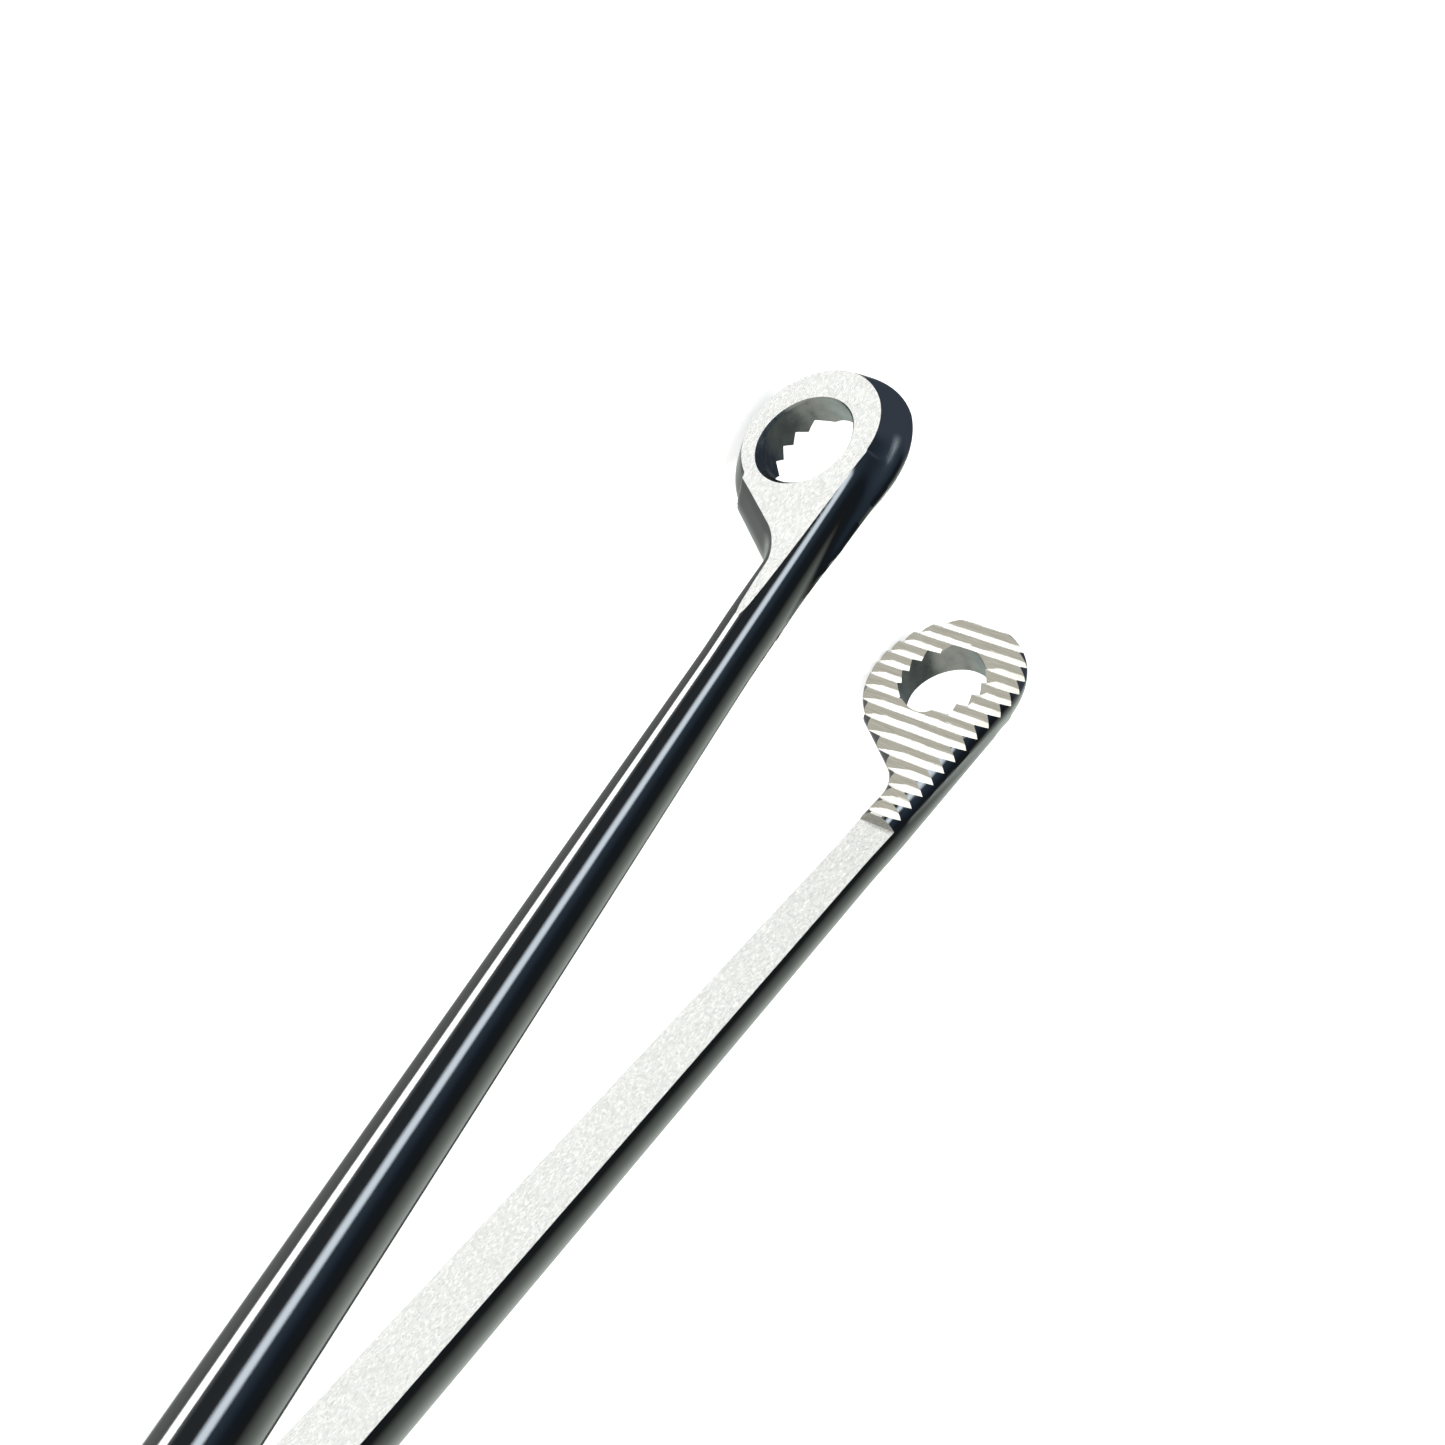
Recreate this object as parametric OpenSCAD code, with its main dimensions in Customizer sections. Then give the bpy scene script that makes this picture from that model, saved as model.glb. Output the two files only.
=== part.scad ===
// Ring-jaw grasping forceps: two crossed steel halves turning on one pivot screw.
// Origin: on the hinge axis, at the under face of the joint. +X to the jaws, +Z up the hinge axis.

/* [Serrations] */
// distance from one tooth to the next
pitch = 1.2; // [0.8:0.05:1.6]
// depth of each groove
tooth_depth = 0.85; // [0.4:0.05:1.2]
// number of grooves across a jaw
grooves = 15; // [6:1:20]
// depth of the arm's inner flat below the tooth crests
relief = 0.84; // [0.3:0.01:1.2]

/* [Ring jaw] */
// outer radius of the ring at the tooth crests
ring_r = 5.64; // [4:0.01:8]
// outer radius of the ring at its back face
ring_back_r = 5.1; // [4:0.01:8]
// radius of the round window
window_r = 3.25; // [2:0.01:5]
// thickness of the jaw from crests to back face, at the ring's centre
jaw_thick = 2.8; // [1.5:0.05:5]
// tilt of the flat back face, which makes the jaw thinner at its tip
back_tilt = 2.9; // [0:0.1:6]
// from the ring's centre back to the first groove
heel_x = 11.94; // [8:0.01:16]

/* [Arms] */
// from the hinge axis to the ring's centre
ring_x = 86.1; // [50:0.1:150]
// flat width of an arm at the neck
neck_w = 2.87; // [1.5:0.01:5]
// flat width of an arm at the hinge axis
root_w = 5.52; // [3:0.01:9]
// how far the ring's centre lies below the middle of the joint
ring_drop = 2.12; // [0:0.01:6]
// how far the arm's middle lies above the ring's centre at the neck
neck_rise = 3.84; // [0:0.01:6]

/* [Joint] */
// radius of the lap plates
lap_r = 6; // [4:0.1:9]
// free gap around and between the two halves
gap = 0.3; // [0.2:0.05:0.6]
// radius of the pivot screw's shaft
shaft_r = 1.5; // [1:0.05:2.5]
// radial running clearance of the shaft in the upper half
run_clear = 0.05; // [0.02:0.01:0.1]
// radius of the screw's head
head_r = 2.5; // [2:0.05:4]
// thickness of the screw's head
head_h = 0.9; // [0.5:0.05:1.5]
// angle between the arms as drawn
open_angle = 15; // [0:0.5:35]

/* [Handles] */
// from the hinge axis to a finger ring's centre
finger_x = 118; // [60:0.5:160]
// middle radius of a finger ring
finger_r = 12.6; // [9:0.1:18]
// radius of the round bar of a finger ring
finger_bar_r = 2.1; // [1.5:0.05:3.5]
// radius of a shank next to the joint
shank_r1 = 2.7; // [2:0.05:3.5]
// radius of a shank at its finger ring
shank_r2 = 1.9; // [1.2:0.05:3]

/* [Hidden] */
$fn = 96;
eps = 0.01;
finger_y = finger_r + finger_bar_r + gap;
steel = [0.78, 0.79, 0.80];
// D section of an arm: circle radius and depth of its centre, as shares of the flat's half width
d_round = 1.16;
d_sunk = 0.59;
joint_t = 2 * d_round * root_w / 2;
lap_t = (joint_t - gap) / 2;
mid_z = joint_t / 2;
far = 400;

// a round bar from point a, radius ra, to point b, radius rb; spin turns it on its own axis
module bar(a, ra, b, rb, spin = 0) {
  v = b - a;
  len = norm(v);
  translate(a)
    rotate([0, acos(v[2] / len), atan2(v[1], v[0])]) rotate([0, 0, spin])
      cylinder(h = len, r1 = ra, r2 = rb);
}

// jaw space: x to the tip, y down to the ring's bulge, z to the other jaw, crests at z = 0
module in_jaw_space() {
  translate([ring_x, -gap / 2, mid_z - ring_drop]) rotate([-90, 0, 0]) children();
}

// one cross slice of the neck, pts as [y, z]
module slice(x, pts) {
  translate([x, 0, 0]) rotate([90, 0, 90]) linear_extrude(0.02) polygon(pts);
}

// round D slice of the arm, just inside the arm's own surface
module neck_slice(x, hw) {
  intersection() {
    translate([x, -neck_rise, -relief - d_sunk * hw])
      rotate([0, 90, 0]) cylinder(h = 0.02, r = 0.93 * d_round * hw, $fn = 32);
    translate([x - 1, -10, -10]) cube([3, 20, 9.9]);
  }
}

// ring blank: a leaning cone, so that the back face is smaller and shifted to the tip
module ring_blank() {
  lean = [0.54, -0.42, -jaw_thick];
  grow = ring_r - ring_back_r;
  intersection() {
    bar(-lean * 0.5, ring_r + grow * 0.5, lean * 1.5, ring_back_r - grow * 0.5, -63);
    translate([-20, -20, -20]) cube([40, 40, 20]);
  }
}

// neck blank, from the round arm to the wide ring, in three stages
module neck_blank() {
  t = jaw_thick;
  waist = [[-5.3, 0], [-2.6, 0], [-2.3, -1], [-2.8, -t - 0.2], [-4.2, -t - 0.2], [-5.4, -1.7]];
  flare = [[-5.42, 0], [3.0, 0], [1.9, -t - 0.4], [-4.6, -t - 0.4], [-5.4, -1.7]];
  inside = [[-5.5, 0], [4.0, 0], [3.4, -t - 0.4], [-5.0, -t - 0.4]];
  hull() {
    neck_slice(-heel_x - 2.2, neck_w / 2);
    slice(-8.9, waist);
  }
  hull() {
    slice(-8.9, waist);
    slice(-4.5, flare);
  }
  hull() {
    slice(-4.5, flare);
    slice(0.8, inside);
  }
}

// cutter for the flat ground back face
module back_cutter() {
  translate([0, 0, -jaw_thick]) rotate([0, -back_tilt, 0])
    translate([-heel_x - 4, -20, -20]) cube([60, 40, 20]);
}

// cutter for the toothed face: everything above the saw line
module tooth_cutter() {
  crest0 = -heel_x - pitch / 2;
  saw = [for (i = [0 : grooves]) for (s = [0, 1])
    [crest0 + (i + s / 2) * pitch, s == 0 ? 0 : -tooth_depth]];
  heel = [[-far, 5], [-far, -relief], [crest0 - 0.36, -relief], [crest0 - 0.14, 0]];
  translate([0, 20, 0]) rotate([90, 0, 0])
    linear_extrude(40) polygon(concat(heel, saw, [[40, -tooth_depth], [40, 5]]));
}

// arm: a tapered round bar whose inner side the tooth cutter makes flat; it runs on into the ring
module arm_blank() {
  h0 = root_w / 2;
  h1 = neck_w / 2;
  p0 = [-ring_x, -ring_drop, -relief - d_sunk * h0];
  p1 = [-heel_x, -neck_rise, -relief - d_sunk * h1];
  run = (heel_x + 0.2) / (ring_x - heel_x);
  bar(p0, d_round * h0, p1 + (p1 - p0) * run, d_round * (h1 + (h1 - h0) * run) - 0.02, 180);
}

// one half with its jaw at -Y and its finger ring at +Y, closed; low = lap plate at the bottom
module half(low) {
  z0 = low ? 0 : mid_z + gap / 2;
  difference() {
    union() {
      in_jaw_space() difference() {
        union() {
          arm_blank();
          neck_blank();
          ring_blank();
        }
        tooth_cutter();
        back_cutter();
        translate([0, 0, -20]) cylinder(h = 40, r = window_r);
      }
      bar([0.5, shank_r1 + gap, mid_z], shank_r1, [-finger_x, shank_r2 + gap, mid_z], shank_r2);
      translate([-finger_x, finger_y, mid_z])
        rotate_extrude() translate([finger_r, 0]) circle(r = finger_bar_r, $fn = 48);
      translate([0, 0, z0]) cylinder(h = lap_t, r = lap_r);
    }
    // room for the other half's lap plate, twelve-sided round it
    translate([0, 0, low ? mid_z - gap / 2 : -5])
      rotate([0, 0, low ? 15 : 18]) cylinder(h = 5 + mid_z + gap / 2, r = (lap_r + gap) / cos(15), $fn = 12);
    // flush under and upper faces at the joint
    translate([-30, -30, -10]) cube([60, 60, 10]);
    translate([-30, -30, joint_t]) cube([60, 60, 10]);
    // bore for the screw
    translate([0, 0, -5]) cylinder(h = 20, r = low ? shaft_r - 0.01 : shaft_r + run_clear);
    if (!low) translate([0, 0, joint_t - head_h - gap]) cylinder(h = 5, r = head_r + gap);
  }
}

module lower_half() {
  color(steel) rotate([0, 0, -open_angle / 2]) half(true);
}

module upper_half() {
  color(steel) rotate([0, 0, open_angle / 2]) mirror([0, 1, 0]) half(false);
}

module pivot_screw() {
  color(steel) difference() {
    union() {
      cylinder(h = joint_t - 0.5, r = shaft_r);
      translate([0, 0, joint_t - head_h]) cylinder(h = head_h, r = head_r);
    }
    translate([-head_r - 1, -0.35, joint_t - 0.45]) cube([2 * head_r + 2, 0.7, 1]);
  }
}

lower_half();
upper_half();
pivot_screw();
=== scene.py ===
"""Ring-jaw grasping forceps in polished stainless steel: two crossed halves, lapped, on one screw."""
import math

import bmesh
import bpy
import numpy as np
from bpy.props import FloatProperty, FloatVectorProperty, IntProperty, PointerProperty
from mathutils import Matrix, Vector


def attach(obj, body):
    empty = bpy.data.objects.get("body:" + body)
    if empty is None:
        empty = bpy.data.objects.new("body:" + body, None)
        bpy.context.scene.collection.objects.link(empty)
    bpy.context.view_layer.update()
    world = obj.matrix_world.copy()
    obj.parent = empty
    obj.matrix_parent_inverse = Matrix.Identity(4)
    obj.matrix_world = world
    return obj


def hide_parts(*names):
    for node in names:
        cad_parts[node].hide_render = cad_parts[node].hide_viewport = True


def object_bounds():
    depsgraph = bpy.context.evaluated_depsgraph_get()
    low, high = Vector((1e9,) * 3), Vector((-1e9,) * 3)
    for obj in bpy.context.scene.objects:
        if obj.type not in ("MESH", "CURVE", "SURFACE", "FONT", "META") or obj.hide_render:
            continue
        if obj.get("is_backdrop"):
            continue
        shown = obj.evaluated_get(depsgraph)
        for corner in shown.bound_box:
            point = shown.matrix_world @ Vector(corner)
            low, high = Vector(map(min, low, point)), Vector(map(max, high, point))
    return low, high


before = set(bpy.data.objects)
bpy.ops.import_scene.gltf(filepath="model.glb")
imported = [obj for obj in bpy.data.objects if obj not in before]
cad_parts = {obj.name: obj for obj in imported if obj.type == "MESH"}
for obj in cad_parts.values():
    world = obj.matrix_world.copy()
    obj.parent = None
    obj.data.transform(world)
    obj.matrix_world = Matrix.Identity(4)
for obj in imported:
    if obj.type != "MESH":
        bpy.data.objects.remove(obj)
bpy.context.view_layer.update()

bl_info = {
    "name": "Ring Forceps",
    "version": (1, 0, 0),
    "blender": (4, 5, 0),
    "location": "3D View > Sidebar > Forceps",
    "description": "Makes ring-jaw grasping forceps and a plain studio round them",
    "category": "Object",
}

# ---------------------------------------------------------------- sizes
# Blanks are made in millimetres, and brought to metres when they are finished.
MM = 1000.0
# Jaw space: x towards the tip, y towards the flank that slopes, z towards the other jaw,
# the tooth crests at z 0, and the middle of the ring at the origin.
PIVOT_TO_RING = 86.1
# In the frame, the crests stand this far off the plane where the jaws meet.
CREST_GAP = 0.15
# In the frame, the middle of the ring lies this far up.
RING_LIFT = 1.0816
# The middle of the first groove, back from the middle of the ring. The arm's taper ends there too.
HEEL = 11.94
# How far below the crests the inner face of the arm is ground flat.
ARM_RELIEF = 0.84
# Half the width of that flat, at the pivot and at the heel.
ARM_HALF_PIVOT = 2.76
ARM_HALF_HEEL = 1.435
# The blank's jaw is a slab between these heights, and its skin is sought from a line at the middle one.
SLAB_FOOT = -3.9
CORE = -1.45
SLAB_TOP = 0.7
# The neck's flank runs this way in x and y, as a step of about length 1.
FLANK_RUN = (0.55, 0.835)
# The joint: its whole height, the height of one lap plate, and the plate's radius and broken edge.
JOINT_HIGH = 6.4032
MID_HIGH = JOINT_HIGH / 2
LAP_HIGH = 3.0516
LAP_RADIUS = 6
LAP_EDGE = 0.25
# The room round the other half's plate: between the flats and the corners of a twelve-sided one.
ROOM_RADIUS = 6.3 / math.cos(math.radians(15)) * math.cos(math.radians(7))
# Cutters that go right through run from one of these heights to the other.
FAR_BELOW = -5
FAR_ABOVE = 12
# The shank and the finger ring, in the plane at half the joint's height.
SHANK_START = 2.0
SHANK_LONG = 120.0
LOOP_X = -118
LOOP_Y = 15
LOOP_RADIUS = 12.6
LOOP_BAR = 2.1
# The screw's shaft, the holes for it in the two halves, and its head.
SHAFT_RADIUS = 1.5
BORE_LOWER = 1.53
BORE_UPPER = 1.55
HEAD_RADIUS = 2.5
HEAD_HIGH = 0.9
# Half the angle between the arms at rest.
HALF_OPEN = math.radians(7.5)
# Edges sharper than this stay sharp when a piece is shaded smooth.
SHARP_ANGLE = math.radians(28)
# The upper half's jaw is this much fuller than the lower one's, in metres.
UPPER_FULLNESS = 0.0005


def srgb(code):
    """A colour from its sRGB hex code, as the linear RGBA that the shaders take."""
    parts = [int(code[i:i + 2], 16) / 255 for i in (0, 2, 4)]
    return tuple(c / 12.92 if c <= 0.04045 else ((c + 0.055) / 1.055) ** 2.4 for c in parts) + (1.0,)


def add(tree, kind, name="", inputs=None, **settings):
    """One node: its settings are set as attributes, its inputs as values or as sockets to link from."""
    node = tree.nodes.new(kind)
    if name:
        node.name = node.label = name
    for key, value in settings.items():
        setattr(node, key, value)
    for key, value in (inputs or {}).items():
        if isinstance(value, bpy.types.NodeSocket):
            tree.links.new(value, node.inputs[key])
        else:
            node.inputs[key].default_value = value
    return node


def remap(tree, name, value, before, after, **settings):
    """The value, stretched so that the range before becomes the range after."""
    inputs = {"Value": value, "From Min": before[0], "From Max": before[1],
              "To Min": after[0], "To Max": after[1]}
    return add(tree, "ShaderNodeMapRange", name, inputs, **settings).outputs["Result"]


def tint_between(tree, name, factor, low, high):
    """A colour that goes from low to high, two sRGB hex codes, as the factor goes from 0 to 1."""
    mix = add(tree, "ShaderNodeMix", name, {"Factor": factor}, data_type="RGBA")
    mix.inputs[6].default_value = srgb(low)
    mix.inputs[7].default_value = srgb(high)
    return mix.outputs[2]


# ---------------------------------------------------------------- finishes
def new_finish(name, metallic=1.0):
    """A material with a principled shader on its output. One that is already made comes without its tree."""
    mat = bpy.data.materials.get(name)
    if mat:
        return mat, None, None
    mat = bpy.data.materials.new(name)
    mat.use_nodes = True
    tree = mat.node_tree
    tree.nodes.clear()
    out = add(tree, "ShaderNodeOutputMaterial")
    shader = add(tree, "ShaderNodeBsdfPrincipled", "Surface", {"Metallic": metallic})
    tree.links.new(shader.outputs["BSDF"], out.inputs["Surface"])
    return mat, tree, shader


def dress(tree, shader, colour, roughness, normal):
    """Links a steel's colour, roughness and relief to its shader."""
    tree.links.new(colour, shader.inputs["Base Color"])
    tree.links.new(roughness, shader.inputs["Roughness"])
    tree.links.new(normal, shader.inputs["Normal"])


def polished_steel():
    """Mirror-buffed stainless steel, with the faint haze and waviness that a buffing wheel leaves."""
    mat, tree, shader = new_finish("Mirror-buffed stainless steel")
    if not tree:
        return mat
    place = add(tree, "ShaderNodeTexCoord").outputs["Object"]
    # Buffing haze in patches of about 2 mm, so that the gloss isn't the same all over.
    haze = add(tree, "ShaderNodeTexNoise", "Buffing haze", {"Vector": place, "Scale": 520.0, "Detail": 3.0})
    rough = remap(tree, "Haze to roughness", haze.outputs["Fac"], (0.3, 0.7), (0.06, 0.11))
    # Fine pits and specks a tenth of a millimetre across, which only just show in the highlights.
    specks = add(tree, "ShaderNodeTexNoise", "Specks", {"Vector": place, "Scale": 9000.0, "Detail": 2.0})
    # The wheel leaves slow waves a few millimetres long, which bend the edges of the reflections.
    waves = add(tree, "ShaderNodeTexNoise", "Wheel waves", {"Vector": place, "Scale": 260.0, "Detail": 1.0})
    fine = add(tree, "ShaderNodeBump", "Speck relief",
               {"Strength": 0.25, "Distance": 0.000004, "Height": specks.outputs["Fac"]})
    wavy = add(tree, "ShaderNodeBump", "Wave relief",
               {"Strength": 0.3, "Distance": 0.00002, "Height": waves.outputs["Fac"],
                "Normal": fine.outputs["Normal"]})
    tint = tint_between(tree, "Steel tint", haze.outputs["Fac"], "d9dcdd", "e6e7e6")
    dress(tree, shader, tint, rough, wavy.outputs["Normal"])
    return mat


def ground_steel():
    """Satin faces left by a fine abrasive belt: pale and a little mottled, with short crossed scratches."""
    mat, tree, shader = new_finish("Satin-ground stainless steel")
    if not tree:
        return mat
    place = add(tree, "ShaderNodeTexCoord").outputs["Object"]
    # Fine scratches, several times as long as they are wide, in two directions that cross.
    lay = []
    for name, angle in (("Belt scratches", 0.5), ("Cross scratches", -0.8)):
        turned = add(tree, "ShaderNodeMapping", name + " lay",
                     {"Vector": place, "Rotation": (0.0, angle, 0.0), "Scale": (2600.0, 12000.0, 20000.0)})
        lay.append(add(tree, "ShaderNodeTexNoise", name,
                       {"Vector": turned.outputs["Vector"], "Scale": 1.0, "Detail": 4.0, "Roughness": 0.6}))
    both = add(tree, "ShaderNodeMath", "Both scratches",
               {0: lay[0].outputs["Fac"], 1: lay[1].outputs["Fac"]}, operation="ADD").outputs["Value"]
    mottle = add(tree, "ShaderNodeTexNoise", "Mottling", {"Vector": place, "Scale": 3200.0, "Detail": 4.0})
    rough = remap(tree, "Mottling to roughness", mottle.outputs["Fac"], (0.3, 0.7), (0.24, 0.30))
    relief = add(tree, "ShaderNodeBump", "Scratch relief",
                 {"Strength": 0.5, "Distance": 0.00001, "Height": both})
    # Painted shade: the scratches are painted a little darker where they run low, so the face shows a fine
    # pale grain.
    grain = remap(tree, "Scratch grain and painted shade", both, (0.75, 1.2), (0.0, 1.0))
    tint = tint_between(tree, "Ground tint", grain, "bcbdbb", "d8d9d6")
    dress(tree, shader, tint, rough, relief.outputs["Normal"])
    return mat


def milled_steel(name, low, high, across, along, deep, pale):
    """Steel as a cutter leaves it: roughness from low to high, in marks this fine across and along Z, with
    painted shade that goes from the deep colour in the marks' hollows to the pale one on their tops.
    """
    mat, tree, shader = new_finish(name)
    if not tree:
        return mat
    place = add(tree, "ShaderNodeTexCoord").outputs["Object"]
    # Where along is less than across, the marks are streaks that run up and down.
    run = add(tree, "ShaderNodeMapping", "Cutter run", {"Vector": place, "Scale": (across, across, along)})
    marks = add(tree, "ShaderNodeTexNoise", "Tool marks",
                {"Vector": run.outputs["Vector"], "Scale": 1.0, "Detail": 3.0}).outputs["Fac"]
    rough = remap(tree, "Marks to roughness", marks, (0.3, 0.7), (low, high))
    relief = add(tree, "ShaderNodeBump", "Mark relief",
                 {"Strength": 0.8, "Distance": 0.000006, "Height": marks})
    # Painted shade: the metal is painted darker where the marks run deep, for the shade in their hollows.
    tint = tint_between(tree, "Painted shade in marks", marks, deep, pale)
    dress(tree, shader, tint, rough, relief.outputs["Normal"])
    return mat


def serration_steel():
    """The flanks of the grooves, bright enough to mirror each other."""
    return milled_steel("Milled serration steel", 0.05, 0.10, 9000.0, 700.0, "c4c4be", "f4f4f0")


def bored_steel():
    """The walls of the holes and of the screw's slot, duller and cooler, and mottled by the cutter."""
    return milled_steel("Bored stainless steel", 0.22, 0.34, 1200.0, 1200.0, "7f8888", "c6cccc")


def turned_steel():
    """The screw, turned on a lathe and lightly polished."""
    return milled_steel("Turned stainless steel", 0.12, 0.2, 2500.0, 2500.0, "bfc1c2", "dcdee0")


# ---------------------------------------------------------------- meshes
def mesh_object(name, verts, faces, material=None):
    """A temporary object from plain lists, its faces turned outwards."""
    mesh = bpy.data.meshes.new(name)
    mesh.from_pydata([tuple(v) for v in verts], [], faces)
    bm = bmesh.new()
    bm.from_mesh(mesh)
    bmesh.ops.remove_doubles(bm, verts=bm.verts, dist=1e-5)
    bmesh.ops.dissolve_degenerate(bm, edges=bm.edges, dist=1e-6)
    bmesh.ops.recalc_face_normals(bm, faces=bm.faces)
    bm.to_mesh(mesh)
    bm.free()
    if material:
        mesh.materials.append(material)
    obj = bpy.data.objects.new(name, mesh)
    bpy.context.scene.collection.objects.link(obj)
    return obj


def bake(obj):
    """Gives the object the mesh that its modifiers make, and clears them."""
    bpy.context.view_layer.update()
    graph = bpy.context.evaluated_depsgraph_get()
    made = obj.evaluated_get(graph)
    mesh = bpy.data.meshes.new_from_object(made, preserve_all_data_layers=True, depsgraph=graph)
    old = obj.data
    obj.modifiers.clear()
    obj.data = mesh
    if old.users == 0:
        bpy.data.meshes.remove(old)


def combine(obj, tool, how):
    """Cuts the tool from the object, or joins it on, and throws the tool away."""
    step = obj.modifiers.new("Combine", "BOOLEAN")
    step.operation = how
    step.solver = "EXACT"
    step.material_mode = "TRANSFER"
    step.object = tool
    bake(obj)
    mesh = tool.data
    bpy.data.objects.remove(tool)
    if mesh and mesh.users == 0:
        bpy.data.meshes.remove(mesh)
    if len(obj.data.polygons) < 10:
        raise RuntimeError(f"{obj.name} came to nothing when {how.lower()} was done")


def prism(name, outline, low, high, plane, material):
    """A closed prism of a flat outline, from low to high: along y for the plane XZ, and along z for XY."""
    n = len(outline)
    if plane == "XZ":
        verts = [(a, h, b) for h in (low, high) for a, b in outline]
    else:
        verts = [(a, b, h) for h in (low, high) for a, b in outline]
    faces = [tuple(range(n)), tuple(range(2 * n - 1, n - 1, -1))]
    faces += [(i, (i + 1) % n, n + (i + 1) % n, n + i) for i in range(n)]
    return mesh_object(name, verts, faces, material)


def lathe(name, profile, steps, material):
    """A closed solid of revolution about Z from (radius, height) points that start and end on the axis."""
    verts, faces = [], []
    for k in range(steps):
        a = 2 * math.pi * k / steps
        verts += [(r * math.cos(a), r * math.sin(a), h) for r, h in profile]
    m = len(profile)
    for k in range(steps):
        for j in range(m - 1):
            a, b = k * m + j, ((k + 1) % steps) * m + j
            faces.append((a, b, b + 1, a + 1))
    return mesh_object(name, verts, faces, material)


def tube(name, path, sides, material, closed=False):
    """A round bar through (x, y, z, radius) points in the XY plane."""
    pts = [Vector(p[:3]) for p in path]
    verts, faces = [], []
    n = len(pts)
    for i, p in enumerate(pts):
        ahead = pts[(i + 1) % n] if closed or i < n - 1 else p
        back = pts[i - 1] if closed or i > 0 else p
        run = (ahead - back).normalized()
        side = Vector((-run.y, run.x, 0)).normalized()
        up = run.cross(side)
        for k in range(sides):
            a = 2 * math.pi * k / sides
            verts.append(p + (side * math.cos(a) + up * math.sin(a)) * path[i][3])
    for i in range(n if closed else n - 1):
        for k in range(sides):
            a, b = i * sides + k, ((i + 1) % n) * sides + k
            c, d = ((i + 1) % n) * sides + (k + 1) % sides, i * sides + (k + 1) % sides
            faces.append((a, b, c, d))
    if not closed:
        faces += [tuple(range(sides)), tuple(range(n * sides - 1, (n - 1) * sides - 1, -1))]
    return mesh_object(name, verts, faces, material)


# ---------------------------------------------------------------- jaw and arm
def blend_union(a, b, k):
    """The lower of two distances, with a fillet of about k where they meet."""
    h = np.clip(0.5 + 0.5 * (b - a) / k, 0, 1)
    return b * (1 - h) + a * h - k * h * (1 - h)


def arm_at(x):
    """The arm's round section at x: its middle (y, z) and its radius."""
    s = (x + PIVOT_TO_RING) / (PIVOT_TO_RING - HEEL)
    half = ARM_HALF_PIVOT + (ARM_HALF_HEEL - ARM_HALF_PIVOT) * s
    # The arm swells a little where it comes up to the neck.
    near = np.clip((x + 16.5) / 4.5, 0, 1)
    radius = 1.16 * half + 0.09 * near * near * (3 - 2 * near)
    return -2.12 - 1.72 * s, -ARM_RELIEF - 0.59 * half, radius


def facing(turn, degrees):
    """How much a place on the rim belongs to the side that faces this way: 1 there, 0 on the far side."""
    return np.clip(0.5 + 0.75 * np.cos(turn - math.radians(degrees)), 0, 1) ** 2


# Depths below the crests at which the rim's radius is held.
RIM_DEPTH = np.linspace(-0.8, 4.0, 97)


def rim_curve(places):
    """A smooth curve through (depth, radius) places, as radii at each RIM_DEPTH."""
    depths, radii = zip(*places)
    rough = np.interp(RIM_DEPTH, depths, radii)
    for _ in range(24):
        rough[1:-1] = (rough[:-2] + 2 * rough[1:-1] + rough[2:]) / 4
    return rough


TIP_RIM = rim_curve([(-0.8, 5.4), (0, 5.98), (0.4, 6.22), (0.8, 6.25), (1.3, 6.12), (1.8, 5.96),
                     (2.2, 5.8), (2.6, 5.6), (4, 4.6)])
SLOPE_RIM = rim_curve([(-0.8, 4.9), (0, 5.5), (0.35, 5.92), (0.7, 6.08), (1.1, 5.95), (1.5, 5.7),
                       (2.1, 5.22), (2.8, 4.66), (4, 3.4)])
SPINE_RIM = rim_curve([(-0.8, 5.0), (0, 5.68), (0.35, 5.95), (0.7, 6.06), (1.0, 6.02), (1.4, 5.85),
                       (2.0, 5.45), (2.8, 4.85), (4, 3.7)])


def jaw_distance(p, fullness):
    """Rough signed distance to the blank of jaw, neck and arm, before anything is ground or cut."""
    x, y, z = p[..., 0], p[..., 1], p[..., 2]
    ya, za, ra = arm_at(x)
    arm = np.maximum(np.hypot(y - ya, z - za) - ra, x - 0.2)
    # The rim bellies out below the teeth and tucks in to the back, more on the sides than at the tip.
    depth = -z
    slope_rim = np.interp(depth, RIM_DEPTH, SLOPE_RIM)
    spine_rim = np.interp(depth, RIM_DEPTH, SPINE_RIM)
    turn = np.arctan2(y, x)
    tip, slope, spine = facing(turn, 5), facing(turn, 115), facing(turn, -95)
    whole = tip + slope + spine + 1e-9
    rim = (tip * np.interp(depth, RIM_DEPTH, TIP_RIM) + slope * slope_rim + spine * spine_rim) / whole
    # A fuller jaw bellies out further along its spine side, most of all just below the teeth.
    fuller = fullness * np.exp(-((depth - 0.95) / 0.8) ** 2)
    ring = np.hypot(x, y) - rim - fuller * spine
    # The neck is a wedge: a sloping flank on one side, and a side nearly along x on the other.
    run_x, run_y = FLANK_RUN
    flank = -run_y * x + run_x * y - 0.28 - slope_rim
    lean = np.interp(depth, [0.0, 1.0, 3.0], [0.18, 0.07, 0.2])
    side = -lean * x - y - spine_rim - fuller * np.clip((x + 11) / 5, 0, 1)
    neck = np.maximum(np.maximum(flank, side), np.maximum(x, run_x * x + run_y * y))
    slab = np.maximum(z - SLAB_TOP, SLAB_FOOT - z)
    # The fillet is widest on the sloping side, and the neck sinks a little inside the ring.
    fillet = np.interp(y, [-5.0, -3.4], [0.7, 1.3])
    fade = np.clip((x + 2.0) / 2.0, 0, 1)
    sunk = 0.18 * fade * fade * (3 - 2 * fade)
    stem = blend_union(arm, np.maximum(neck, slab), fillet) + sunk
    return blend_union(stem, np.maximum(ring, slab), 0.4)


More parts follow.
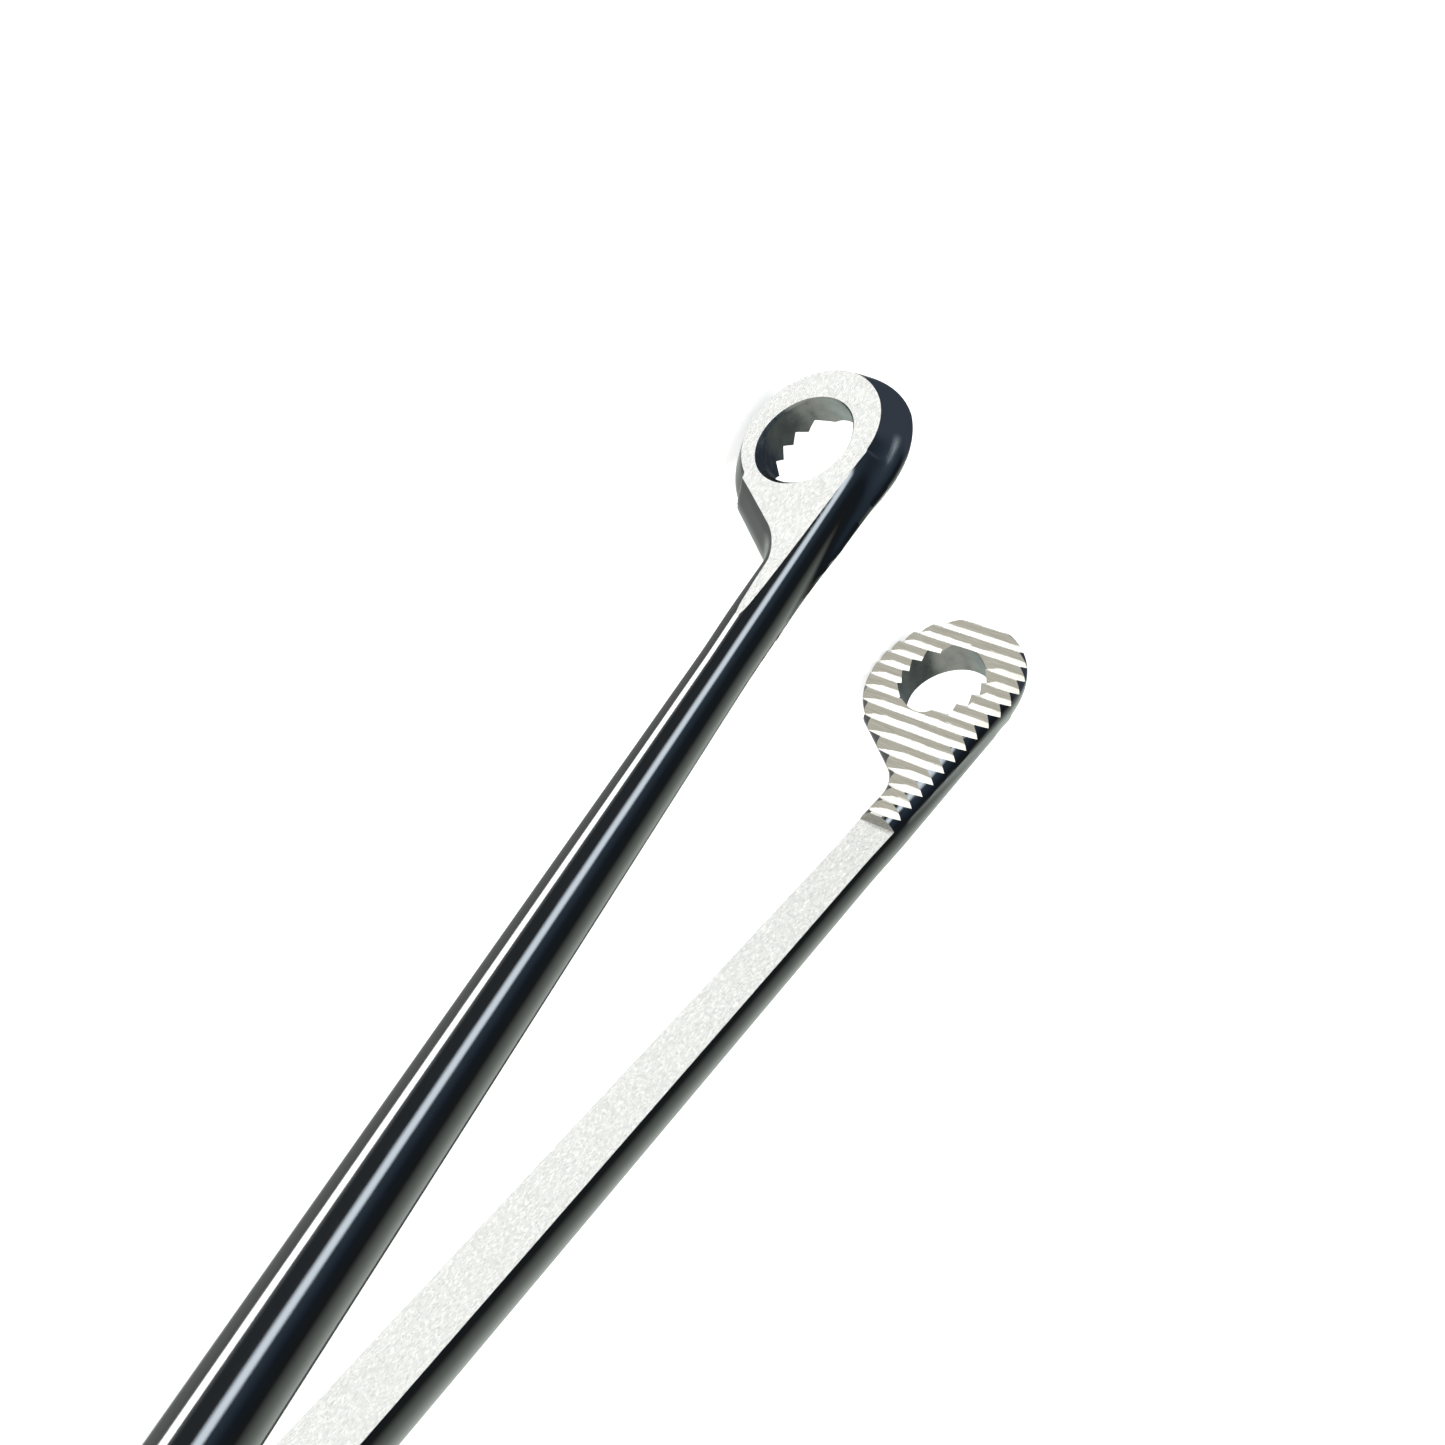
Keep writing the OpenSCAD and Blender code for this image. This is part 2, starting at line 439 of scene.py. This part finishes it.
def jaw_blank(material, fullness):
    """The blank as one smooth skin: rays from a line inside it find the surface, station by station."""
    # Each station's rays go round a square frame at the jaw and a circle at the arm, quarter by quarter.
    quarter = 24
    edge = np.linspace(-1, 1, quarter, endpoint=False)
    u = np.concatenate([np.ones(quarter), -edge, -np.ones(quarter), edge])
    v = np.concatenate([edge, np.ones(quarter), -edge, -np.ones(quarter)])
    a = (np.arange(4 * quarter) - quarter / 2) * (math.pi / 2) / quarter
    cu, cv = np.cos(a) * 1.2, np.sin(a) * 1.2
    # Half the height of the frame, and half its width at the middle of the ring.
    tall, full = 1.9, 5.7
    xs = np.concatenate([np.linspace(-PIVOT_TO_RING, -17, 26), np.linspace(-16.8, 0, 120)])
    starts, rays = [], []
    for x in xs:
        ya, za, _ = arm_at(x)
        w = np.clip((x + 10.5) / 4.0, 0, 1)
        yc = np.interp(x, [-10, -8, -6, -4, -2, 0], [ya, -3.3, -2.0, -0.7, 0, 0])
        zc = za * (1 - w) + CORE * w
        wide = np.interp(x, [-10, -5.5, 0], [1.9, 4.4, full])
        starts.append(np.tile([x, yc, zc], (4 * quarter, 1)))
        rays.append(np.stack([0 * u, (cu * (1 - w) + u * w) * wide, (cv * (1 - w) + v * w) * tall], 1))
    # Beyond the middle of the ring, the stations turn about it instead.
    for turn in np.linspace(0, math.pi / 2, 57)[1:]:
        starts.append(np.tile([0, 0, CORE], (4 * quarter, 1)))
        rays.append(np.stack([np.abs(u) * full * math.sin(turn), u * full * math.cos(turn), v * tall], 1))
    starts, rays = np.array(starts), np.array(rays)
    rays /= np.linalg.norm(rays, axis=2, keepdims=True)
    # No part of the skin is 12 mm from the line, and 40 halvings of that find it.
    near, far = np.zeros(rays.shape[:2]), np.full(rays.shape[:2], 12.0)
    for _ in range(40):
        mid = (near + far) / 2
        inside = jaw_distance(starts + rays * mid[..., None], fullness) < 0
        near, far = np.where(inside, mid, near), np.where(inside, far, mid)
    skin = starts + rays * near[..., None]
    rows, cols = skin.shape[:2]
    faces = [(i * cols + j, (i + 1) * cols + j, (i + 1) * cols + (j + 1) % cols, i * cols + (j + 1) % cols)
             for i in range(rows - 1) for j in range(cols)]
    faces.append(tuple(range(cols)))
    return mesh_object("jaw blank", skin.reshape(-1, 3), faces, material)


def comb_nodes():
    """Geometry nodes for the comb that cuts the serrations: one diamond bar, repeated at the pitch."""
    tree = bpy.data.node_groups.get("Serration comb")
    if tree:
        return tree
    tree = bpy.data.node_groups.new("Serration comb", "GeometryNodeTree")
    face = tree.interface
    face.new_socket("Geometry", in_out="INPUT", socket_type="NodeSocketGeometry")
    face.new_socket("Geometry", in_out="OUTPUT", socket_type="NodeSocketGeometry")
    for name, kind in (("Grooves", "Int"), ("First", "Float"), ("Pitch", "Float"), ("Width", "Float"),
                       ("Depth", "Float"), ("Finish", "Material")):
        face.new_socket(name, in_out="INPUT", socket_type="NodeSocket" + kind)
    given = add(tree, "NodeGroupInput").outputs
    # Turned on its edge, a bar of this section is 1 deep and 1 to each side. 30 is long enough for any jaw.
    root = math.sqrt(2)
    bar = add(tree, "GeometryNodeMeshCube", "Bar", {"Size": (root, 30.0, root)})
    turned = add(tree, "GeometryNodeTransform", "On edge",
                 {"Geometry": bar.outputs["Mesh"], "Rotation": (0.0, math.pi / 4, 0.0)})
    half = add(tree, "ShaderNodeMath", "Half width", {0: given["Width"], 1: 2.0}, operation="DIVIDE")
    size = add(tree, "ShaderNodeCombineXYZ", "Groove size",
               {"X": half.outputs[0], "Y": 1.0, "Z": given["Depth"]})
    shaped = add(tree, "GeometryNodeTransform", "Groove shape",
                 {"Geometry": turned.outputs["Geometry"], "Scale": size.outputs[0]})
    start = add(tree, "ShaderNodeCombineXYZ", "First place", {"X": given["First"]})
    step = add(tree, "ShaderNodeCombineXYZ", "Step", {"X": given["Pitch"]})
    line = add(tree, "GeometryNodeMeshLine", "Places",
               {"Count": given["Grooves"], "Start Location": start.outputs[0], "Offset": step.outputs[0]})
    bars = add(tree, "GeometryNodeInstanceOnPoints", "Bars",
               {"Points": line.outputs["Mesh"], "Instance": shaped.outputs["Geometry"]})
    real = add(tree, "GeometryNodeRealizeInstances", "Real bars", {"Geometry": bars.outputs["Instances"]})
    finished = add(tree, "GeometryNodeSetMaterial", "Finish",
                   {"Geometry": real.outputs["Geometry"], "Material": given["Finish"]})
    add(tree, "NodeGroupOutput", inputs={"Geometry": finished.outputs["Geometry"]})
    return tree


def serration_comb(settings):
    """The comb as a real mesh, ready to cut with."""
    comb = mesh_object("serration comb", [(0, 0, 0)], [])
    tree = comb_nodes()
    step = comb.modifiers.new("Comb", "NODES")
    step.node_group = tree
    pitch = settings.pitch * MM
    # One bar more than the whole grooves, for the part groove at the tip. Each crest is left 0.05 mm wide.
    bars = settings.grooves + 1
    wanted = {"Grooves": bars, "First": -HEEL, "Pitch": pitch, "Width": pitch - 0.05,
              "Depth": settings.tooth_depth * MM, "Finish": serration_steel()}
    for item in tree.interface.items_tree:
        if item.in_out == "INPUT" and item.name in wanted:
            step[item.identifier] = wanted[item.name]
    bake(comb)
    if len(comb.data.polygons) != 6 * bars:
        raise RuntimeError("the serration comb has the wrong number of bars")
    return comb


def cut_jaw(settings):
    """The jaw and arm in jaw space: blank, arm flat and heel, grooves, back facet and window."""
    jaw = jaw_blank(polished_steel(), settings.fullness * MM)
    ground = ground_steel()
    # The arm's flat ends in a steep heel that rises to the crests.
    plane = [(-95, 4), (-95, -ARM_RELIEF), (-12.90, -ARM_RELIEF), (-12.68, 0), (9, 0), (9, 4)]
    combine(jaw, prism("plane", plane, -15, 15, "XZ", ground), "DIFFERENCE")
    combine(jaw, serration_comb(settings), "DIFFERENCE")
    # The back is ground at a slope, so the jaw is thinnest at the tip.
    rise = math.tan(math.radians(2.9))
    facet = [(x, -2.8 + rise * x) for x in (-16, 12)] + [(12, -8), (-16, -8)]
    combine(jaw, prism("facet", facet, -15, 15, "XZ", ground), "DIFFERENCE")
    # The window widens towards the back.
    r = settings.window_radius * MM
    hole = [(0, -5), (r + 2.15, -5), (r, -2.55), (r, 2), (0, 2)]
    combine(jaw, lathe("window", hole, 128, bored_steel()), "DIFFERENCE")
    return jaw


def shank_and_ring(material):
    """The thin shank behind the joint and its finger ring, blended into one."""
    path = [(SHANK_START - SHANK_LONG * s, 3.0 - 0.8 * s, MID_HIGH, 2.7 - 0.8 * s)
            for s in np.linspace(0, 1, 40)]
    shank = tube("shank", path, 48, material)
    turns = np.linspace(0, 2 * math.pi, 160, endpoint=False)
    path = [(LOOP_X + LOOP_RADIUS * math.cos(a), LOOP_Y + LOOP_RADIUS * math.sin(a), MID_HIGH, LOOP_BAR)
            for a in turns]
    loop = tube("finger ring", path, 40, material, closed=True)
    combine(shank, loop, "UNION")
    remesh = shank.modifiers.new("Even skin", "REMESH")
    remesh.mode = "VOXEL"
    remesh.voxel_size = 0.3
    soften = shank.modifiers.new("Blend", "SMOOTH")
    soften.factor = 0.5
    soften.iterations = 14
    bake(shank)
    shank.data.materials.clear()
    shank.data.materials.append(material)
    return shank


def make_half(name, low, settings):
    """One half: jaw and arm, lap plate, shank and finger ring, cut for the other half and the screw."""
    half = cut_jaw(settings)
    half.name = name
    to_frame = Matrix(((1, 0, 0, PIVOT_TO_RING), (0, 0, 1, -CREST_GAP), (0, -1, 0, RING_LIFT), (0, 0, 0, 1)))
    half.data.transform(to_frame)
    bright, ground = polished_steel(), ground_steel()
    combine(half, shank_and_ring(bright), "UNION")
    z0 = 0 if low else JOINT_HIGH - LAP_HIGH
    z1 = z0 + LAP_HIGH
    r, c = LAP_RADIUS, LAP_EDGE
    plate = [(0, z0), (r - c, z0), (r, z0 + c), (r, z1 - c), (r - c, z1), (0, z1)]
    combine(half, lathe("lap plate", plate, 128, bright), "UNION")
    foot = LAP_HIGH if low else FAR_BELOW
    roof = FAR_ABOVE if low else z0
    room = [(0, foot), (ROOM_RADIUS, foot), (ROOM_RADIUS, roof), (0, roof)]
    combine(half, lathe("room", room, 128, ground), "DIFFERENCE")
    # Nothing near the pivot stands out past the joint's two flat faces.
    for z in (-10, JOINT_HIGH):
        slab = prism("slab", [(-8, -8), (8, -8), (8, 8), (-8, 8)], z, z + 10, "XY", ground)
        combine(half, slab, "DIFFERENCE")
    bore = BORE_LOWER if low else BORE_UPPER
    hole = [(0, FAR_BELOW), (bore, FAR_BELOW), (bore, FAR_ABOVE), (0, FAR_ABOVE)]
    combine(half, lathe("bore", hole, 64, bored_steel()), "DIFFERENCE")
    if not low:
        # The upper half has a sunk seat for the screw's head, and its outline is mirrored.
        foot, rim = JOINT_HIGH - 1.2, JOINT_HIGH - 0.12
        seat = [(0, foot), (2.8, foot), (2.8, rim), (3.1, JOINT_HIGH + 0.18), (3.1, FAR_ABOVE),
                (0, FAR_ABOVE)]
        combine(half, lathe("seat", seat, 96, bored_steel()), "DIFFERENCE")
        half.data.transform(Matrix.Diagonal((1, -1, 1, 1)))
    turn = Matrix.Rotation(-HALF_OPEN if low else HALF_OPEN, 4, "Z")
    return finish_piece(half, turn)


def finish_piece(obj, turn):
    """Turns a finished blank to its place in metres, and shades it smooth up to its real edges."""
    obj.data.transform(Matrix.Scale(1 / MM, 4) @ turn)
    bm = bmesh.new()
    bm.from_mesh(obj.data)
    bmesh.ops.remove_doubles(bm, verts=bm.verts, dist=2e-7)
    bmesh.ops.triangulate(bm, faces=[f for f in bm.faces if len(f.verts) > 4])
    bmesh.ops.recalc_face_normals(bm, faces=bm.faces)
    bm.to_mesh(obj.data)
    bm.free()
    obj.data.polygons.foreach_set("use_smooth", [True] * len(obj.data.polygons))
    obj.data.set_sharp_from_angle(angle=SHARP_ANGLE)
    # Where two finishes meet there is always an edge, however shallow.
    bm = bmesh.new()
    bm.from_mesh(obj.data)
    for edge in bm.edges:
        if len({f.material_index for f in edge.link_faces}) > 1:
            edge.smooth = False
    bm.to_mesh(obj.data)
    bm.free()
    return obj


def make_screw(name):
    """The slotted joint screw: shaft and flat head with a broken edge."""
    top = JOINT_HIGH
    under = top - HEAD_HIGH
    profile = [(0, 0), (1.35, 0), (SHAFT_RADIUS, 0.15), (SHAFT_RADIUS, under), (HEAD_RADIUS, under),
               (HEAD_RADIUS, top - 0.2), (2.38, top - 0.06), (2.2, top), (0, top)]
    screw = lathe(name, profile, 96, turned_steel())
    slot = [(-4, top - 0.45), (4, top - 0.45), (4, top + 1), (-4, top + 1)]
    combine(screw, prism("slot", slot, -0.35, 0.35, "XZ", bored_steel()), "DIFFERENCE")
    return finish_piece(screw, Matrix.Identity(4))


# ---------------------------------------------------------------- studio
def studio_world(settings):
    """Studio light painted by direction: strips that run along the arms, bright ones and dark ones."""
    world = bpy.data.worlds.new("Studio light")
    bpy.context.scene.world = world
    world.use_nodes = True
    tree = world.node_tree
    tree.nodes.clear()
    way = add(tree, "ShaderNodeTexCoord").outputs["Generated"]
    axes = add(tree, "ShaderNodeSeparateXYZ", inputs={"Vector": way}).outputs
    turn = add(tree, "ShaderNodeMath", "Turn round the arms", {0: axes["Z"], 1: axes["Y"]},
               operation="ARCTAN2")
    place = remap(tree, "Round as 0 to 1", turn.outputs[0], (-math.pi, math.pi), (0.0, 1.0))
    ramp = add(tree, "ShaderNodeValToRGB", "Cards", {"Fac": place})
    # (angle from +Y up towards +Z in degrees, level, tint)
    cards = [(-180, 0.18, (0.93, 1.0, 0.93)), (-140, 0.30, (0.93, 1.0, 0.93)), (-105, 0.06, (1, 1, 1)),
             (-55, 0.04, (1, 1, 1)), (-49, 0.9, (1, 1, 0.99)), (-35, 1.0, (1, 1, 1)),
             (-30, 0.05, (0.9, 0.95, 1)),
             (-18, 0.012, (0.8, 0.9, 1)), (16, 0.012, (0.8, 0.9, 1)), (26, 0.38, (0.83, 0.91, 1)),
             (36, 0.38, (0.83, 0.91, 1)), (43, 0.025, (0.5, 0.72, 1)), (72, 0.008, (0.5, 0.7, 1)),
             (100, 0.005, (0.9, 1, 0.95)), (140, 0.07, (0.92, 1.0, 0.93)), (180, 0.18, (0.93, 1.0, 0.93))]
    stops = ramp.color_ramp.elements
    while len(stops) < len(cards):
        stops.new(0.5)
    for stop, (angle, level, tint) in zip(stops, cards):
        stop.position = (angle + 180) / 360
        stop.color = [c * level for c in tint] + [1.0]
    # Along the arms the strips run out: a grey-beige wall on the handle side, a dark one beyond the tips.
    room = ramp.outputs["Color"]
    for name, ends, wall in (("Handle wall", (-0.42, -0.62), (0.25, 0.24, 0.215, 1.0)),
                             ("Tip wall", (0.5, 0.75), (0.018, 0.022, 0.03, 1.0))):
        reach = remap(tree, name + " edge", axes["X"], ends, (0.0, 1.0), interpolation_type="SMOOTHSTEP")
        mix = add(tree, "ShaderNodeMix", name, {"Factor": reach}, data_type="RGBA")
        tree.links.new(room, mix.inputs[6])
        mix.inputs[7].default_value = wall
        room = mix.outputs[2]
    light = add(tree, "ShaderNodeBackground", "Studio", {"Color": room, "Strength": settings.light})
    paper = add(tree, "ShaderNodeBackground", "White paper", {"Color": (1, 1, 1, 1), "Strength": 1.0})
    ray = add(tree, "ShaderNodeLightPath")
    pick = add(tree, "ShaderNodeMixShader", "Paper behind the view",
               {"Fac": ray.outputs["Is Camera Ray"], 1: light.outputs[0], 2: paper.outputs[0]})
    add(tree, "ShaderNodeOutputWorld", inputs={"Surface": pick.outputs[0]})


def studio_floor(settings):
    """A plain pale floor just under the lowest point. It glows, so that it stays nearly white."""
    low = Vector(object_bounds()[0])
    r, z = 3.0, low.z - settings.floor_gap
    floor = mesh_object("floor", [(-r, -r, z), (r, -r, z), (r, r, z), (-r, r, z)], [(0, 1, 2, 3)])
    mat, tree, shader = new_finish("Matt white paper", metallic=0.0)
    if tree:
        # Paper tooth: very faint, so the floor isn't dead flat in its own shade.
        place = add(tree, "ShaderNodeTexCoord").outputs["Object"]
        tooth = add(tree, "ShaderNodeTexNoise", "Paper tooth",
                    {"Vector": place, "Scale": 900.0, "Detail": 3.0})
        tint = tint_between(tree, "Paper white", tooth.outputs["Fac"], "fafafa", "ffffff")
        tree.links.new(tint, shader.inputs["Base Color"])
        shader.inputs["Roughness"].default_value = 0.9
        shader.inputs["Emission Color"].default_value = (1, 1, 1, 1)
        shader.inputs["Emission Strength"].default_value = 0.62
    floor.data.materials.append(mat)
    # The steel neither mirrors the floor nor takes light from it, so its dark bands stay dark.
    floor.visible_glossy = False
    floor.visible_diffuse = False
    floor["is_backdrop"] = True


def studio_lamp():
    """A large soft lamp overhead that lights the floor evenly."""
    lamp = bpy.data.lights.new("soft box", "AREA")
    lamp.shape = "SQUARE"
    lamp.size = 1.6
    lamp.energy = 16.0
    obj = bpy.data.objects.new("soft box", lamp)
    obj.location = (0.0, 0.1, 1.0)
    obj.visible_glossy = False
    bpy.context.scene.collection.objects.link(obj)


def studio_camera(settings):
    """The camera, from its place and its three axes."""
    cam = bpy.data.cameras.new("camera")
    cam.sensor_width = 36.0
    cam.lens = settings.lens * MM
    cam.clip_start, cam.clip_end = 0.005, 20.0
    obj = bpy.data.objects.new("camera", cam)
    right = Vector((0.57726986, -0.39759239, 0.71321791))
    up = Vector((0.75441617, 0.59389712, -0.27953972))
    back = right.cross(up)
    turn = Matrix((right, up, back)).transposed().to_4x4()
    obj.matrix_world = Matrix.Translation(Vector(settings.camera_place)) @ turn
    bpy.context.scene.collection.objects.link(obj)
    bpy.context.scene.camera = obj


# ---------------------------------------------------------------- add-on
class HalfSettings(bpy.types.PropertyGroup):
    """Sizes of a half that a maker might change."""
    pitch: FloatProperty(name="Pitch", description="Distance between teeth", default=0.0012,
                         unit="LENGTH", precision=5)
    tooth_depth: FloatProperty(name="Tooth depth", description="Depth of a groove", default=0.00067,
                               unit="LENGTH", precision=5)
    grooves: IntProperty(name="Grooves", description="Whole grooves across the jaw", default=15,
                         min=4, max=30)
    fullness: FloatProperty(name="Fullness", description="How far the spine side of the rim bellies out",
                            default=0.0, unit="LENGTH", precision=5)
    window_radius: FloatProperty(name="Window radius", description="Radius of the hole through the ring",
                                 default=0.00325, unit="LENGTH", precision=5)


class StudioSettings(bpy.types.PropertyGroup):
    """The studio round the forceps."""
    light: FloatProperty(name="Light", description="Strength of the studio light", default=2.4, min=0.0)
    floor_gap: FloatProperty(name="Floor gap", description="Gap under the lowest point", default=0.0002,
                             unit="LENGTH", precision=5)
    lens: FloatProperty(name="Lens", description="Focal length of the camera", default=0.05711,
                        unit="LENGTH", precision=5)
    camera_place: FloatVectorProperty(name="Camera place", description="Where the camera stands",
                                      default=(0.022608, 0.107652, 0.096293), subtype="TRANSLATION",
                                      unit="LENGTH")


class ForcepsSettings(bpy.types.PropertyGroup):
    """All the settings together."""
    lower: PointerProperty(type=HalfSettings, name="Lower half", description="Sizes of the lower half")
    upper: PointerProperty(type=HalfSettings, name="Upper half", description="Sizes of the upper half")
    studio: PointerProperty(type=StudioSettings, name="Studio", description="Camera, light and floor")


class FORCEPS_OT_lower_half(bpy.types.Operator):
    """Makes the lower half, which takes the place of its CAD solid."""
    bl_idname = "forceps.lower_half"
    bl_label = "Lower half"

    def execute(self, context):
        half = make_half("forceps_lower_half", True, context.scene.forceps.lower)
        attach(half, "lower_half")
        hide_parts("lower_half")
        return {"FINISHED"}


class FORCEPS_OT_upper_half(bpy.types.Operator):
    """Makes the upper half, which takes the place of its CAD solid."""
    bl_idname = "forceps.upper_half"
    bl_label = "Upper half"

    def execute(self, context):
        half = make_half("forceps_upper_half", False, context.scene.forceps.upper)
        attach(half, "upper_half")
        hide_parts("upper_half")
        return {"FINISHED"}


class FORCEPS_OT_pivot_screw(bpy.types.Operator):
    """Makes the slotted joint screw."""
    bl_idname = "forceps.pivot_screw"
    bl_label = "Joint screw"

    def execute(self, context):
        screw = make_screw("forceps_pivot_screw")
        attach(screw, "lower_half")
        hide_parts("pivot_screw")
        return {"FINISHED"}


class FORCEPS_OT_studio(bpy.types.Operator):
    """Sets up the floor, the light and the camera."""
    bl_idname = "forceps.studio"
    bl_label = "Studio"

    def execute(self, context):
        settings = context.scene.forceps.studio
        context.scene.view_settings.view_transform = "Standard"
        studio_world(settings)
        studio_floor(settings)
        studio_lamp()
        studio_camera(settings)
        return {"FINISHED"}


class FORCEPS_PT_panel(bpy.types.Panel):
    """Buttons for each piece and for the studio."""
    bl_idname = "FORCEPS_PT_panel"
    bl_label = "Ring forceps"
    bl_space_type = "VIEW_3D"
    bl_region_type = "UI"
    bl_category = "Forceps"

    def draw(self, context):
        settings = context.scene.forceps
        for title, part, button in (("Lower half", settings.lower, "forceps.lower_half"),
                                    ("Upper half", settings.upper, "forceps.upper_half")):
            box = self.layout.box()
            box.label(text=title)
            for name in ("pitch", "tooth_depth", "grooves", "fullness", "window_radius"):
                box.prop(part, name)
            box.operator(button)
        self.layout.operator("forceps.pivot_screw")
        self.layout.prop(settings.studio, "light")
        self.layout.operator("forceps.studio")


CLASSES = (HalfSettings, StudioSettings, ForcepsSettings, FORCEPS_OT_lower_half, FORCEPS_OT_upper_half,
           FORCEPS_OT_pivot_screw, FORCEPS_OT_studio, FORCEPS_PT_panel)


def register():
    for cls in CLASSES:
        bpy.utils.register_class(cls)
    bpy.types.Scene.forceps = PointerProperty(type=ForcepsSettings)


def unregister():
    del bpy.types.Scene.forceps
    for cls in reversed(CLASSES):
        bpy.utils.unregister_class(cls)


def main():
    register()
    bpy.context.scene.forceps.upper.fullness = UPPER_FULLNESS
    for step in (bpy.ops.forceps.lower_half, bpy.ops.forceps.upper_half, bpy.ops.forceps.pivot_screw,
                 bpy.ops.forceps.studio):
        if step() != {"FINISHED"}:
            raise RuntimeError(f"{step.idname()} did not finish")


if __name__ == "__main__":
    main()
